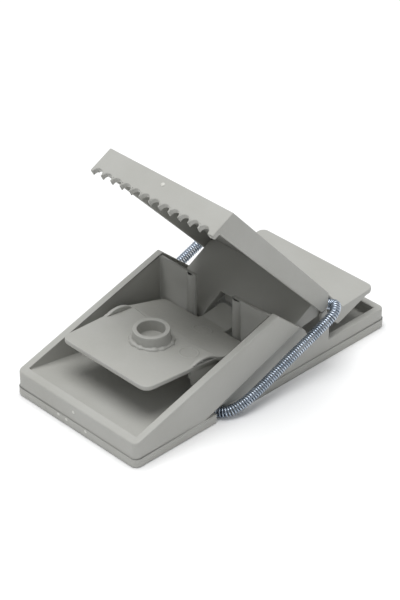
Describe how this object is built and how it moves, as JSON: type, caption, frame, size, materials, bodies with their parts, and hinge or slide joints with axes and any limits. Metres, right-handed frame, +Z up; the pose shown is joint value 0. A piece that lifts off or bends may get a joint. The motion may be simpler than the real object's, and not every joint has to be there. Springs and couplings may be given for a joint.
{
  "type": "snap mouse trap",
  "caption": "Set plastic snap mouse trap: toothed jaw with squeeze handle, trip pedal with bait cup, and a long coil spring round a rectangular base.",
  "frame": {"origin": "centre of the base's footprint, on the floor", "axes": "+Z up, +Y along the length from the mouth to the handle, +X across the width"},
  "size_m": [0.059, 0.1024, 0.0666],
  "materials": {
    "base_plastic": "satin",
    "pedal_plastic": "satin",
    "jaw_plastic": "satin",
    "spring_wire": "bright zinc"
  },
  "bodies": {
    "base": {"base": "base_plastic", "spring_under_run": "spring_wire"},
    "trip_pedal": {"trip_pedal": "pedal_plastic"},
    "jaw": {"jaw": "jaw_plastic", "spring_jaw_run": "spring_wire"},
    "spring_sides": {"spring_right_run": "spring_wire", "spring_left_run": "spring_wire"}
  },
  "joints": [
    {"name": "jaw_hinge", "type": "hinge", "parent": "base", "child": "jaw", "pos_m": [0, 0.0085, 0.0088], "axis": [1, 0, 0], "range_deg": [-1, 61]},
    {"name": "pedal_hinge", "type": "hinge", "parent": "base", "child": "trip_pedal", "pos_m": [0, -0.018, 0.0103], "axis": [1, 0, 0], "range_deg": [0, 4]},
    {"name": "spring_swing", "type": "hinge", "parent": "base", "child": "spring_sides", "pos_m": [0, -0.0178, 0.0019], "axis": [1, 0, 0], "range_deg": [-0.5, 28.5], "deforming": ["spring_right_run", "spring_left_run"]}
  ],
  "couplings": [
    {"joint": "spring_swing", "follows": "jaw_hinge", "ratio": 0.4295}
  ]
}
